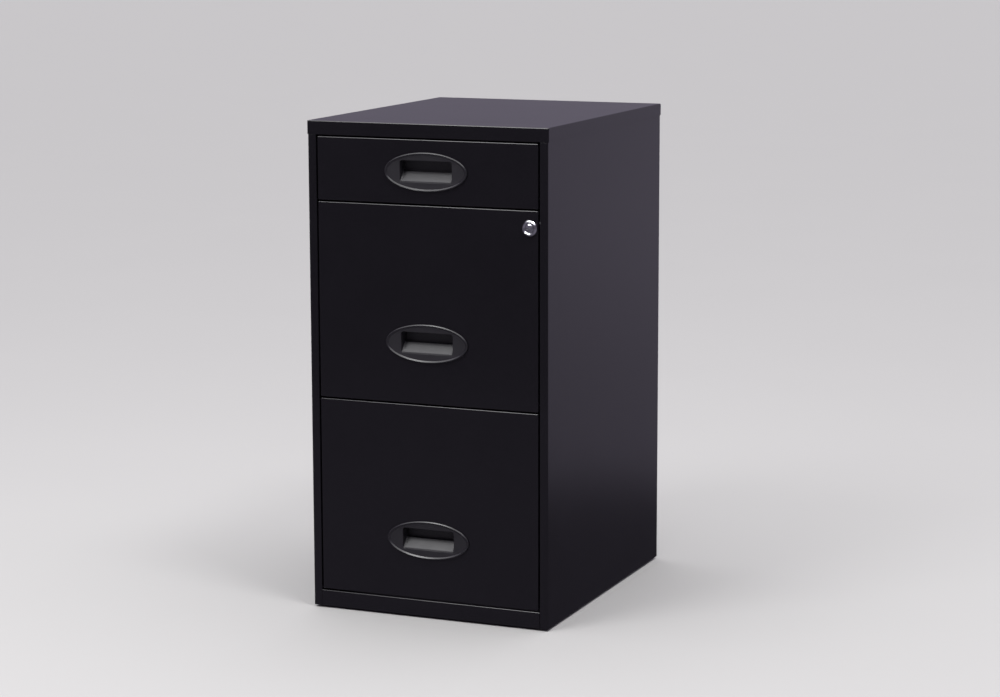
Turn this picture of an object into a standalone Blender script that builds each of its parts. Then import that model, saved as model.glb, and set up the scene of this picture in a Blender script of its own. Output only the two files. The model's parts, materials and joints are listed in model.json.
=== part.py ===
"""Three-drawer steel filing cabinet: a shallow drawer over two letter-size file drawers.

Metres, +Z up, +X to the right as seen from the front, and the front faces -Y. The origin is on the
floor, in the middle of the box round the whole cabinet. Each drawer is modelled in its own frame, whose
origin is the middle of the lower edge of its front, with +Y going into the cabinet.
"""

import math

import bmesh
import bpy
from mathutils import Matrix, Vector

# Overall size
WIDTH = 0.362  # over the top's side flanges
DEPTH = 0.457  # from the lock's nose to the back
HEIGHT = 0.697
SHEET = 0.0008  # steel sheet
GAP = 0.0003  # between pieces that touch
BEND = 0.0016  # outer radius of a bend in the sheet
TIGHT_BEND = 0.0012

# Case
NOSE = 0.004  # how far the lock stands out of the front
GLIDE_HEIGHT = 0.003
TOP_FLANGE = 0.017
TOP_RAIL = 0.0195  # the top's front flange
STILE = 0.0123
LIP = 0.0098  # the stile's edge, bent back
FLOOR_FLANGE = 0.024
BACK_FLANGE = 0.012
RAIL_TOP = 0.0263
RAIL_LIP = 0.012
LIP_PLAY = 0.0005  # from the top's lip to each side
GLIDE_RADIUS = 0.009
GLIDE_CHAMFER = 0.001
GLIDE_STEM = 0.002
GLIDE_BARB = 0.001
GLIDE_TIP = 0.004  # above the flange
GLIDE_INSET = 0.035

# Drawers
DRAWER_GAP = 0.002
SHALLOW_FRONT = 0.0888
FILE_FRONT = 0.27715
FRONT_FLANGE = 0.014
TRAY_WIDTH = 0.307
TRAY_DEPTH = 0.4295
TRAY_FLOOR = 0.006  # above the lower edge of the front
SHALLOW_WALL = 0.057
FILE_WALL = 0.240  # the depth that a letter-size hanging folder needs
HEM_WIDTH = 0.004
HEM_DROP = 0.008
NOTCH_DEPTH = 0.036
NOTCH_DROP = 0.030
BACK_DROP = 0.001  # from the walls' top edges to the back's
TRAVEL = 0.305

# Pull
PULL_WIDTH = 0.124
PULL_HEIGHT = 0.054
FILE_PULL_Z = 0.0853  # above the lower edge of the front
PULL_PROUD = 0.003
PULL_FACE = 0.0012
POCKET_HALF = 0.039
POCKET_WALL = 0.0013
POCKET_LOW = -0.0145
POCKET_HIGH = 0.0179
POCKET_MOUTH = 0.0155
POCKET_RAMP = 0.0115  # how deep the ramp reaches
POCKET_RISE = 0.014  # and how high
POCKET_DEPTH = 0.017
POCKET_LIP = 0.0035

# Slides
ROLLER_RADIUS = 0.008
ROLLER_WIDTH = 0.007
ROLLER_EASE = 0.0008  # of its edges
AXLE_RADIUS = 0.0025
SHOULDER_RADIUS = 0.0035
AXLE_HEAD_RADIUS = 0.0042
AXLE_HEAD = 0.001
AXLE_RISE = 0.009  # above the tray's floor
RAIL_REACH = 0.165  # half width over the drawer's rails
RAIL_WEB = 0.007  # below the axle line
RAIL_START = 0.016
REAR_ROLLER_Y = 0.4145
FRONT_ROLLER_Y = 0.030
CASE_ROLLER_X = 0.1605
DRAWER_ROLLER_X = 0.172
RUNNER_REACH = 0.1662
RUNNER_START = 0.018
RUNNER_PLAY = 0.0006
STOP_HEIGHT = 0.003
STOP_THICK = 0.0012
STOP_OFF = 0.007  # from the roller's axle to the stop that it meets

# Lock
LOCK_X = 0.1535
LOCK_Z = 0.2533  # above the lower edge of the middle drawer's front
BEZEL_RADIUS = 0.011
BARREL_RADIUS = 0.008
BARREL_END = 0.020
BORE_RADIUS = 0.0062
PLUG_RADIUS = 0.0059
PLUG_FRONT = 0.0032
NUT_ACROSS = 0.020
NUT_THICK = 0.004
CAM_START = 0.0206
CAM_THICK = 0.0018
CAM_LENGTH = 0.022
CAM_HALF = 0.0055
CAM_HUB = 0.0070
TAIL_HALF = 0.0032
TAIL_SHORT = 0.0002  # of the cam's rear face
KEYWAY_HALF = 0.0007
KEYWAY_ENDS = (-0.0040, 0.0034)
KEYWAY_DEPTH = 0.006
SCREW_RADIUS = 0.0015
SCREW_LENGTH = 0.008
SCREW_ROOM = 0.009
SCREW_HEAD_RADIUS = 0.0048
SCREW_HEAD = 0.0024
SCREW_SLOT_HALF = 0.0005
SCREW_SLOT = 0.0010

# Worked out from the above
FRONT_Y = -DEPTH / 2 + NOSE
BACK_Y = DEPTH / 2
SIDE_OUT = WIDTH / 2 - SHEET - GAP
SIDE_IN = SIDE_OUT - SHEET
SIDE_BACK = BACK_Y - BEND - GAP  # clear of the top's bends
SIDE_TOP = HEIGHT - BEND - GAP
OPENING_HALF = SIDE_OUT - STILE
FRONT_HALF = OPENING_HALF - DRAWER_GAP
BOTTOM_Z = RAIL_TOP + DRAWER_GAP
MIDDLE_Z = BOTTOM_Z + FILE_FRONT + DRAWER_GAP
TOP_Z = MIDDLE_Z + FILE_FRONT + DRAWER_GAP
WALL_OUT = TRAY_WIDTH / 2
WALL_IN = WALL_OUT - SHEET
AXLE_Z = TRAY_FLOOR + AXLE_RISE
CAM_END = CAM_START + CAM_THICK

PULL_STEPS = 40
LOCK_STEPS = 32
ROUND_STEPS = 20
SMALL_STEPS = 12
BEND_STEPS = 2
SHARP_ANGLE = math.radians(35)
PAST = 0.005  # how far a cutter runs past what it cuts
THROUGH = 0.012  # length of a cutter for a hole in sheet
SIDES = (("left", -1), ("right", 1))

parts = bpy.data.collections.new("filing_cabinet")
cutters = bpy.data.collections.new("cutters")


def clear_scene():
    for obj in list(bpy.data.objects):
        bpy.data.objects.remove(obj, do_unlink=True)
    for collection in (parts, cutters):
        bpy.context.scene.collection.children.link(collection)
    cutters.hide_render = True


def material(name, colour, roughness, metallic=0.0):
    made = bpy.data.materials.new(name)
    made.use_nodes = True
    shader = made.node_tree.nodes["Principled BSDF"]
    shader.inputs["Base Color"].default_value = (*colour, 1.0)
    shader.inputs["Roughness"].default_value = roughness
    shader.inputs["Metallic"].default_value = metallic
    return made


def link(name, data, finish, parent=None, location=(0, 0, 0)):
    """A sub-part's object. With no finish it is a cutter."""
    obj = bpy.data.objects.new(name, data)
    obj.parent = parent
    obj.location = location
    if finish is None:
        cutters.objects.link(obj)
        obj.hide_render = True
        obj.display_type = "WIRE"
    else:
        parts.objects.link(obj)
        obj.data.materials.append(finish)
    return obj


def holder(name, location, parent=None):
    """An empty that stands for a body, with its origin where the body's parts are measured from."""
    empty = bpy.data.objects.new(name, None)
    empty.location = location
    empty.parent = parent
    empty.empty_display_size = 0.05
    parts.objects.link(empty)
    return empty


def mesh_from(name, shape):
    mesh = bpy.data.meshes.new(name)
    shape.to_mesh(mesh)
    shape.free()
    return mesh


def box(name, low, high, finish=None, parent=None):
    """A block between two corners."""
    shape = bmesh.new()
    bmesh.ops.create_cube(shape, size=1.0)
    low, high = Vector(low), Vector(high)
    size = high - low
    bmesh.ops.transform(shape, matrix=Matrix.Diagonal((*size, 1.0)), verts=shape.verts)
    bmesh.ops.translate(shape, vec=(low + high) / 2, verts=shape.verts)
    return link(name, mesh_from(name, shape), finish, parent)


def combine(obj, other, operation, solver="EXACT"):
    """Adds other to obj, or cuts it away, and keeps it as a hidden helper."""
    modifier = obj.modifiers.new(other.name, "BOOLEAN")
    modifier.operation = operation
    modifier.solver = solver
    modifier.object = other


def solidify(obj):
    """Sheet thickness on the side that the face normals point away from."""
    modifier = obj.modifiers.new("sheet", "SOLIDIFY")
    modifier.thickness = SHEET
    modifier.offset = -1.0
    modifier.use_even_offset = True


def bent(points, radius=BEND):
    """The path with each inner corner turned into an arc."""
    path = [Vector(points[0])]
    for before, corner, after in zip(points, points[1:], points[2:]):
        corner = Vector(corner)
        to_before = (Vector(before) - corner).normalized()
        to_after = (Vector(after) - corner).normalized()
        half = to_before.angle(to_after) / 2
        centre = corner + (to_before + to_after).normalized() * (radius / math.sin(half))
        start = corner + to_before * (radius / math.tan(half)) - centre
        sweep = start.angle_signed(corner + to_after * (radius / math.tan(half)) - centre)
        for step in range(BEND_STEPS + 1):
            # angle_signed counts clockwise, and a 2D rotation matrix turns the other way
            path.append(centre + Matrix.Rotation(-sweep * step / BEND_STEPS, 2) @ start)
    path.append(Vector(points[-1]))
    return path


def on_side(points, side):
    """A path drawn for the right-hand side, or its mirror image, with the sheet still on the same hand."""
    return points if side > 0 else [(-across, along) for across, along in reversed(points)]


def folded(name, points, plane, start, end, finish, parent=None, radius=BEND):
    """Sheet folded along a path in a plane and swept from start to end. It lies to the right of the path."""
    axes = {"X": Vector((1, 0, 0)), "Y": Vector((0, 1, 0)), "Z": Vector((0, 0, 1))}
    first, second = (axes[letter] for letter in plane)
    sweep = next(axes[letter] for letter in "XYZ" if letter not in plane)
    path = bent(points, radius)
    shape = bmesh.new()
    corners = [shape.verts.new(first * p.x + second * p.y + sweep * start) for p in path]
    edges = [shape.edges.new(pair) for pair in zip(corners, corners[1:])]
    swept = bmesh.ops.extrude_edge_only(shape, edges=edges)["geom"]
    moved = [item for item in swept if isinstance(item, bmesh.types.BMVert)]
    bmesh.ops.translate(shape, vec=sweep * (end - start), verts=moved)
    shape.normal_update()
    heading = path[1] - path[0]
    left = first * -heading.y + second * heading.x
    if edges[0].link_faces[0].normal.dot(left) < 0:
        bmesh.ops.reverse_faces(shape, faces=shape.faces)
    obj = link(name, mesh_from(name, shape), finish, parent)
    solidify(obj)
    return obj


def pan(name, low, high, open_side, finish, parent=None):
    """A shallow pan of sheet with bent edges, open on the side whose outward normal is given."""
    obj = box(name, low, high, finish, parent)
    shape = bmesh.new()
    shape.from_mesh(obj.data)
    shape.normal_update()
    gone = [face for face in shape.faces if face.normal.dot(Vector(open_side)) > 0.9]
    bmesh.ops.delete(shape, geom=gone, context="FACES")
    shape.to_mesh(obj.data)
    shape.free()
    modifier = obj.modifiers.new("bends", "BEVEL")
    modifier.width = BEND
    modifier.segments = BEND_STEPS
    modifier.limit_method = "ANGLE"
    solidify(obj)
    return obj


def turned(name, profile, finish, parent=None, location=(0, 0, 0), axis=(0, 0, 1), steps=ROUND_STEPS):
    """A profile of (radius, height) points turned round an axis, from the top down its outer side."""
    shape = bmesh.new()
    corners = [shape.verts.new((radius, 0, height)) for radius, height in profile]
    edges = list(zip(corners, corners[1:]))
    if profile[0][0] > 0:
        edges.append((corners[-1], corners[0]))
    for pair in edges:
        shape.edges.new(pair)
    obj = link(name, mesh_from(name, shape), finish, parent, location)
    obj.rotation_euler = Vector(axis).to_track_quat("Z", "Y").to_euler()
    modifier = obj.modifiers.new("turn", "SCREW")
    modifier.steps = steps
    modifier.render_steps = steps
    modifier.use_merge_vertices = True
    modifier.merge_threshold = 1e-5
    bpy.context.view_layer.update()
    evaluated = obj.evaluated_get(bpy.context.evaluated_depsgraph_get())
    mesh = bpy.data.meshes.new_from_object(evaluated)
    mesh.name = name
    mesh.shade_smooth()
    mesh.set_sharp_from_angle(angle=SHARP_ANGLE)
    obj.modifiers.clear()
    obj.data = mesh
    return obj


def cut_round(obj, radius, centre, axis, length, parent=None):
    """A round hole through obj, with its middle at centre."""
    profile = [(0, length / 2), (radius, length / 2), (radius, -length / 2), (0, -length / 2)]
    hole = turned(f"{obj.name}_hole", profile, None, parent, centre, axis)
    combine(obj, hole, "DIFFERENCE")


def outline(name, points, thickness, finish, rotation, location, parent=None):
    """A flat outline, thickened evenly to both sides of its plane and made a mesh."""
    curve = bpy.data.curves.new(f"{name}_outline", "CURVE")
    curve.dimensions = "2D"
    curve.fill_mode = "BOTH"
    curve.extrude = thickness / 2
    spline = curve.splines.new("POLY")
    spline.points.add(len(points) - 1)
    spline.use_cyclic_u = True
    for point, (across, up) in zip(spline.points, points):
        point.co = (across, up, 0, 1)
    guide = bpy.data.objects.new(f"{name}_guide", curve)
    guide.rotation_euler = rotation
    guide.location = location
    guide.parent = parent
    parts.objects.link(guide)
    bpy.context.view_layer.update()
    evaluated = guide.evaluated_get(bpy.context.evaluated_depsgraph_get())
    mesh = bpy.data.meshes.new_from_object(evaluated)
    mesh.name = name
    shape = bmesh.new()
    shape.from_mesh(mesh)
    bmesh.ops.remove_doubles(shape, verts=shape.verts, dist=1e-6)
    bmesh.ops.recalc_face_normals(shape, faces=shape.faces)
    shape.to_mesh(mesh)
    shape.free()
    mesh.materials.clear()
    matrix = guide.matrix_world.copy()
    bpy.data.objects.remove(guide)
    obj = link(name, mesh, finish)
    obj.parent = parent
    obj.matrix_world = matrix
    return obj


def case_side(name, side, finish):
    """A side, its stile with the edge bent back, and the flange that the glides are pushed into."""
    path = [
        (SIDE_OUT, SIDE_BACK),
        (SIDE_OUT, FRONT_Y),
        (OPENING_HALF, FRONT_Y),
        (OPENING_HALF, FRONT_Y + LIP),
    ]
    obj = folded(name, on_side(path, side), "XY", GLIDE_HEIGHT, SIDE_TOP, finish)
    inner, outer = sorted((side * (SIDE_OUT - FLOOR_FLANGE), side * (SIDE_OUT - SHEET / 2)))
    floor = box(
        f"{name}_floor",
        (inner, FRONT_Y + FRONT_FLANGE, GLIDE_HEIGHT),
        (outer, SIDE_BACK - SHEET / 2, GLIDE_HEIGHT + SHEET),
    )
    combine(obj, floor, "UNION")
    # The top's front flange and its lip take the place of the stile here.
    for piece, half, depth in (("flange", WIDTH, BEND), ("lip", SIDE_IN - GAP, RAIL_LIP)):
        clear = box(
            f"{name}_{piece}_cut",
            (-half, FRONT_Y - PAST, HEIGHT - TOP_RAIL - GAP),
            (half, FRONT_Y + depth + GAP, HEIGHT),
        )
        combine(obj, clear, "DIFFERENCE")
    for row in ("front", "rear"):
        cut_round(obj, GLIDE_STEM + GAP, glide_place(side, row), (0, 0, 1), THROUGH)
    return obj


def glide_place(side, row):
    along = FRONT_Y + GLIDE_INSET if row == "front" else SIDE_BACK - GLIDE_INSET
    return (side * (SIDE_OUT - FLOOR_FLANGE / 2), along, 0)


def floor_glide(name, side, row, finish):
    """A round foot on a barbed stem."""
    under = GLIDE_HEIGHT - GAP
    over = GLIDE_HEIGHT + SHEET + GAP
    profile = [
        (0, over + GLIDE_TIP),
        (GLIDE_STEM, over + GLIDE_TIP),
        (GLIDE_STEM + GLIDE_BARB, over),
        (GLIDE_STEM, over),
        (GLIDE_STEM, under),
        (GLIDE_RADIUS, under),
        (GLIDE_RADIUS, GLIDE_CHAMFER),
        (GLIDE_RADIUS - GLIDE_CHAMFER, 0),
        (0, 0),
    ]
    turned(name, profile, finish, location=glide_place(side, row), steps=SMALL_STEPS)


def case_top(finish):
    """The top, whose front flange is the rail over the shallow drawer."""
    low = (-WIDTH / 2, FRONT_Y, HEIGHT - TOP_RAIL)
    obj = pan("case_top", low, (WIDTH / 2, BACK_Y, HEIGHT), (0, 0, -1), finish)
    trim = box(
        "case_top_trim",
        (-WIDTH, FRONT_Y + BEND, HEIGHT - TOP_RAIL - PAST),
        (WIDTH, DEPTH, HEIGHT - TOP_FLANGE),
    )
    combine(obj, trim, "DIFFERENCE")
    half = SIDE_IN - LIP_PLAY
    lip = box(
        "case_top_lip",
        (-half, FRONT_Y + SHEET / 2, HEIGHT - TOP_RAIL),
        (half, FRONT_Y + RAIL_LIP, HEIGHT - TOP_RAIL + SHEET),
    )
    combine(obj, lip, "UNION")


def case_back(finish):
    half = SIDE_IN - GAP
    path = [
        (-half, SIDE_BACK - BACK_FLANGE),
        (-half, SIDE_BACK),
        (half, SIDE_BACK),
        (half, SIDE_BACK - BACK_FLANGE),
    ]
    low = GLIDE_HEIGHT + SHEET + GAP
    folded("case_back", path, "XY", low, SIDE_TOP, finish)


def case_base_rail(finish):
    """The rail under the bottom drawer, with both edges bent back."""
    half = OPENING_HALF - GAP
    path = [
        (FRONT_Y + RAIL_LIP, GLIDE_HEIGHT),
        (FRONT_Y, GLIDE_HEIGHT),
        (FRONT_Y, RAIL_TOP),
        (FRONT_Y + RAIL_LIP, RAIL_TOP),
    ]
    folded("case_base_rail", path, "YZ", -half, half, finish)


def axle(name, side, root, shoulder, tip, place):
    """A shouldered stub axle with a riveted head. Distances are from the cabinet's middle, along X."""
    inward = -1 if tip < root else 1
    reach = abs(tip - root)
    step = abs(shoulder - root)
    profile = [
        (0, reach),
        (AXLE_HEAD_RADIUS, reach),
        (AXLE_HEAD_RADIUS, reach - AXLE_HEAD),
        (AXLE_RADIUS, reach - AXLE_HEAD),
        (AXLE_RADIUS, step),
        (SHOULDER_RADIUS, step),
        (SHOULDER_RADIUS, 0),
        (0, 0),
    ]
    along, up, parent = place
    location = (side * root, along, up)
    return turned(name, profile, None, parent, location, (side * inward, 0, 0), SMALL_STEPS)


def runner(name, side, base_z, finish):
    """The channel on the case's side that a drawer's rear roller runs in, with its own front roller's axle."""
    axle_z = base_z + AXLE_Z
    out = SIDE_IN - GAP
    floor = axle_z - ROLLER_RADIUS - GAP
    roof = axle_z + ROLLER_RADIUS + RUNNER_PLAY
    path = [
        (RUNNER_REACH, roof + SHEET),
        (out, roof + SHEET),
        (out, floor - SHEET),
        (RUNNER_REACH, floor - SHEET),
    ]
    end = SIDE_BACK - BACK_FLANGE - GAP
    start = FRONT_Y + RUNNER_START
    obj = folded(name, on_side(path, side), "XZ", start, end, finish, radius=TIGHT_BEND)
    half = ROLLER_WIDTH / 2
    tip = CASE_ROLLER_X - half - GAP - AXLE_HEAD
    place = (FRONT_Y + FRONT_ROLLER_Y, axle_z, None)
    stub = axle(f"{name}_axle", side, out - SHEET / 2, CASE_ROLLER_X + half + GAP, tip, place)
    # The exact solver drops some of the axle's faces on this channel.
    combine(obj, stub, "UNION", "MANIFOLD")
    closed = FRONT_Y + REAR_ROLLER_Y
    for where, face in (("rear", closed + STOP_OFF), ("front", closed - TRAVEL - STOP_OFF - STOP_THICK)):
        near, far = sorted((side * (DRAWER_ROLLER_X - half), side * (DRAWER_ROLLER_X + half)))
        stop = box(
            f"{name}_{where}_stop",
            (near, face, floor - SHEET / 2),
            (far, face + STOP_THICK, floor + STOP_HEIGHT),
        )
        combine(obj, stop, "UNION", "MANIFOLD")


def roller(name, side, across, place, finish):
    """A nylon roller with its origin on its axle."""
    half = ROLLER_WIDTH / 2
    bore = AXLE_RADIUS + GAP
    ease = ROLLER_EASE
    profile = [
        (bore, half),
        (ROLLER_RADIUS - ease, half),
        (ROLLER_RADIUS, half - ease),
        (ROLLER_RADIUS, ease - half),
        (ROLLER_RADIUS - ease, -half),
        (bore, -half),
    ]
    along, up, parent = place
    turned(name, profile, finish, parent, (side * across, along, up), (1, 0, 0), ROUND_STEPS)


def drawer_rail(name, side, finish, parent):
    """The angle on the tray's wall that rides on the case's front roller."""
    top = AXLE_Z + ROLLER_RADIUS + GAP + SHEET
    web = WALL_OUT + GAP
    path = [(web, AXLE_Z - RAIL_WEB), (web, top), (RAIL_REACH, top)]
    obj = folded(name, on_side(path, side), "XZ", RAIL_START, TRAY_DEPTH, finish, parent, TIGHT_BEND)
    half = ROLLER_WIDTH / 2
    tip = DRAWER_ROLLER_X + half + GAP + AXLE_HEAD
    place = (REAR_ROLLER_Y, AXLE_Z, parent)
    stub = axle(f"{name}_axle", side, web + SHEET / 2, DRAWER_ROLLER_X - half - GAP, tip, place)
    combine(obj, stub, "UNION")


def drawer_front(name, height, pull_z, finish, parent):
    low = (-FRONT_HALF, 0, 0)
    obj = pan(name, low, (FRONT_HALF, FRONT_FLANGE, height), (0, 1, 0), finish, parent)
    half = POCKET_HALF + POCKET_WALL + 2 * GAP
    hole = box(
        f"{name}_pull_hole",
        (-half, -PAST, pull_z + POCKET_LOW - POCKET_WALL - 2 * GAP),
        (half, PAST, pull_z + POCKET_HIGH + POCKET_WALL + 2 * GAP),
        parent=parent,
    )
    combine(obj, hole, "DIFFERENCE")
    return obj


def drawer_tray(name, wall, notched, finish, parent):
    """Floor and walls in one sheet, with the walls' top edges turned over to carry hanging folders."""
    top = TRAY_FLOOR + wall
    hem = WALL_IN + HEM_WIDTH
    right = [
        (WALL_IN, TRAY_FLOOR + SHEET),
        (WALL_IN, top),
        (hem, top),
        (hem, top - HEM_DROP),
    ]
    path = [(-across, up) for across, up in reversed(right)] + right
    start = SHEET + GAP
    obj = folded(name, path, "XZ", start, TRAY_DEPTH, finish, parent, TIGHT_BEND)
    if notched:
        notch = box(
            f"{name}_notch",
            (-WIDTH, -PAST, top - NOTCH_DROP),
            (WIDTH, NOTCH_DEPTH, top + PAST),
            parent=parent,
        )
        combine(obj, notch, "DIFFERENCE")


def drawer_back(name, wall, finish, parent):
    half = WALL_IN - GAP
    path = [
        (-half, TRAY_DEPTH - BACK_FLANGE),
        (-half, TRAY_DEPTH),
        (half, TRAY_DEPTH),
        (half, TRAY_DEPTH - BACK_FLANGE),
    ]
    low = TRAY_FLOOR + SHEET + TIGHT_BEND
    folded(name, path, "XY", low, TRAY_FLOOR + wall - BACK_DROP, finish, parent)


def drawer_pull(name, height, finish, parent):
    """An oval moulding with a raised rim, and a pocket whose floor slopes up behind its upper lip."""
    profile = [
        (0, PULL_FACE),
        (0.90, PULL_FACE + 0.0002),
        (0.945, PULL_FACE + 0.0008),
        (0.955, PULL_PROUD - 0.0002),
        (0.970, PULL_PROUD),
        (0.988, PULL_PROUD - 0.0004),
        (1.0, PULL_PROUD - 0.0014),
        (1.0, GAP),
        (0, GAP),
    ]
    obj = turned(name, profile, finish, parent, (0, 0, height), (0, -1, 0), PULL_STEPS)
    obj.rotation_euler = (math.pi / 2, 0, 0)
    obj.scale = (PULL_WIDTH / 2, PULL_HEIGHT / 2, 1)
    ramp_top = POCKET_LOW + POCKET_RISE
    wall = POCKET_WALL
    # The shell starts inside the moulding and stops short of its face.
    start = -(GAP + PULL_FACE) / 2
    shell = [
        (start, POCKET_LOW - wall),
        (wall, POCKET_LOW - wall),
        (POCKET_DEPTH + wall, ramp_top),
        (POCKET_DEPTH + wall, POCKET_HIGH + wall),
        (start, POCKET_HIGH + wall),
    ]
    hollow = [
        (-PAST, POCKET_LOW),
        (0, POCKET_LOW),
        (POCKET_RAMP, ramp_top),
        (POCKET_DEPTH, ramp_top + wall),
        (POCKET_DEPTH, POCKET_HIGH),
        (POCKET_LIP, POCKET_HIGH),
        (POCKET_LIP, POCKET_MOUTH),
        (-PAST, POCKET_MOUTH),
    ]
    upright = (math.pi / 2, 0, math.pi / 2)
    half = POCKET_HALF
    body = outline(f"{name}_shell", shell, 2 * (half + wall), None, upright, (0, 0, height), parent)
    combine(obj, body, "UNION")
    room = outline(f"{name}_room", hollow, 2 * half, None, upright, (0, 0, height), parent)
    combine(obj, room, "DIFFERENCE")


def lock_housing(finish, parent):
    """The bezel and the barrel, bored for the plug. Heights run forwards from the front's face."""
    profile = [
        (BORE_RADIUS, NOSE - 0.0010),
        (0.0074, NOSE - 0.0006),
        (0.0080, NOSE),
        (0.0094, NOSE - 0.0002),
        (BEZEL_RADIUS, 0.0020),
        (BEZEL_RADIUS, GAP),
        (BARREL_RADIUS, GAP),
        (BARREL_RADIUS, -BARREL_END),
        (BORE_RADIUS, -BARREL_END),
    ]
    turned("lock_housing", profile, finish, parent, axis=(0, -1, 0), steps=LOCK_STEPS)


def lock_nut(finish, parent):
    near = SHEET + GAP
    shape = bmesh.new()
    corner = NUT_ACROSS / 2 / math.cos(math.pi / 6)
    bmesh.ops.create_cone(
        shape,
        cap_ends=True,
        segments=6,
        radius1=corner,
        radius2=corner,
        depth=NUT_THICK,
    )
    # A corner points up and the flats face the sides, clear of the front's flange.
    bmesh.ops.rotate(shape, matrix=Matrix.Rotation(math.pi / 2, 3, "X"), verts=shape.verts)
    place = (0, near + NUT_THICK / 2, 0)
    obj = link("lock_nut", mesh_from("lock_nut", shape), finish, parent, place)
    cut_round(obj, BARREL_RADIUS + GAP, place, (0, 1, 0), THROUGH, parent)


def lock_plug(finish, parent):
    """The plug with its keyway, and a square tail that carries the cam."""
    tail_end = CAM_END - TAIL_SHORT
    profile = [
        (0, PLUG_FRONT),
        (PLUG_RADIUS - 0.0006, PLUG_FRONT),
        (PLUG_RADIUS, PLUG_FRONT - 0.0006),
        (PLUG_RADIUS, -(CAM_START - GAP)),
        (0, -(CAM_START - GAP)),
    ]
    obj = turned("lock_plug", profile, finish, parent, axis=(0, -1, 0), steps=ROUND_STEPS)
    tail = box(
        "lock_plug_tail",
        (-TAIL_HALF, CAM_START - CAM_THICK, -TAIL_HALF),
        (TAIL_HALF, tail_end, TAIL_HALF),
        parent=parent,
    )
    combine(obj, tail, "UNION")
    keyway = box(
        "lock_plug_keyway",
        (KEYWAY_ENDS[0], -PLUG_FRONT - PAST, -KEYWAY_HALF),
        (KEYWAY_ENDS[1], KEYWAY_DEPTH, KEYWAY_HALF),
        parent=parent,
    )
    combine(obj, keyway, "DIFFERENCE")
    cut_round(obj, SCREW_RADIUS + GAP, (0, tail_end, 0), (0, 1, 0), 2 * SCREW_ROOM, parent)


def lock_cam(finish, parent):
    """The tongue, hanging down at rest. A quarter turn puts it behind the right-hand stile."""
    drop = CAM_LENGTH - CAM_HALF
    points = []
    for radius, start, below in ((CAM_HUB, 0, 0), (CAM_HALF, math.pi, drop)):
        for step in range(SMALL_STEPS + 1):
            angle = start + math.pi * step / SMALL_STEPS
            points.append((radius * math.cos(angle), radius * math.sin(angle) - below))
    place = (0, CAM_START + CAM_THICK / 2, 0)
    obj = outline("lock_cam", points, CAM_THICK, finish, (math.pi / 2, 0, 0), place, parent)
    half = TAIL_HALF + GAP
    square = box(
        "lock_cam_square",
        (-half, CAM_START - PAST, -half),
        (half, CAM_END + PAST, half),
        parent=parent,
    )
    combine(obj, square, "DIFFERENCE")


def lock_cam_screw(finish, parent):
    near = CAM_END + GAP
    profile = [
        (0, SCREW_LENGTH),
        (SCREW_RADIUS, SCREW_LENGTH),
        (SCREW_RADIUS, 0),
        (SCREW_HEAD_RADIUS, 0),
        (SCREW_HEAD_RADIUS, -SCREW_HEAD / 2),
        (0.75 * SCREW_HEAD_RADIUS, -0.9 * SCREW_HEAD),
        (0, -SCREW_HEAD),
    ]
    obj = turned("lock_cam_screw", profile, finish, parent, (0, near, 0), (0, -1, 0), SMALL_STEPS)
    slot = box(
        "lock_cam_screw_slot",
        (-SCREW_HEAD_RADIUS - PAST, near + SCREW_HEAD - SCREW_SLOT, -SCREW_SLOT_HALF),
        (SCREW_HEAD_RADIUS + PAST, near + SCREW_HEAD + PAST, SCREW_SLOT_HALF),
        parent=parent,
    )
    combine(obj, slot, "DIFFERENCE")


def make_case(paint, zinc, nylon, plastic):
    for word, side in SIDES:
        case_side(f"case_side_{word}", side, paint)
        for row in ("front", "rear"):
            floor_glide(f"floor_glide_{row}_{word}", side, row, plastic)
    case_top(paint)
    case_back(paint)
    case_base_rail(paint)
    for drawer, base_z in (("top", TOP_Z), ("middle", MIDDLE_Z), ("bottom", BOTTOM_Z)):
        for word, side in SIDES:
            runner(f"{drawer}_runner_{word}", side, base_z, zinc)
            place = (FRONT_Y + FRONT_ROLLER_Y, base_z + AXLE_Z, None)
            roller(f"{drawer}_runner_roller_{word}", side, CASE_ROLLER_X, place, nylon)


def make_drawer(name, base_z, height, wall, pull_z, finishes):
    """A drawer in its own frame, held by an empty. Returns the empty and the front."""
    paint, zinc, nylon, plastic = finishes
    frame = holder(name, (0, FRONT_Y, base_z))
    front = drawer_front(f"{name}_front", height, pull_z, paint, frame)
    drawer_tray(f"{name}_tray", wall, wall == FILE_WALL, paint, frame)
    drawer_back(f"{name}_back", wall, paint, frame)
    drawer_pull(f"{name}_pull", pull_z, plastic, frame)
    for word, side in SIDES:
        drawer_rail(f"{name}_rail_{word}", side, zinc, frame)
        place = (REAR_ROLLER_Y, AXLE_Z, frame)
        roller(f"{name}_roller_{word}", side, DRAWER_ROLLER_X, place, nylon)
    return frame, front


def make_lock(drawer, front, chrome, zinc):
    centre = (LOCK_X, 0, LOCK_Z)
    cut_round(front, BARREL_RADIUS + GAP, centre, (0, 1, 0), THROUGH, drawer)
    frame = holder("lock", centre, drawer)
    lock_housing(chrome, frame)
    lock_nut(zinc, frame)
    core = holder("lock_core", (0, 0, 0), frame)
    lock_plug(chrome, core)
    lock_cam(zinc, core)
    lock_cam_screw(zinc, core)


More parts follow.
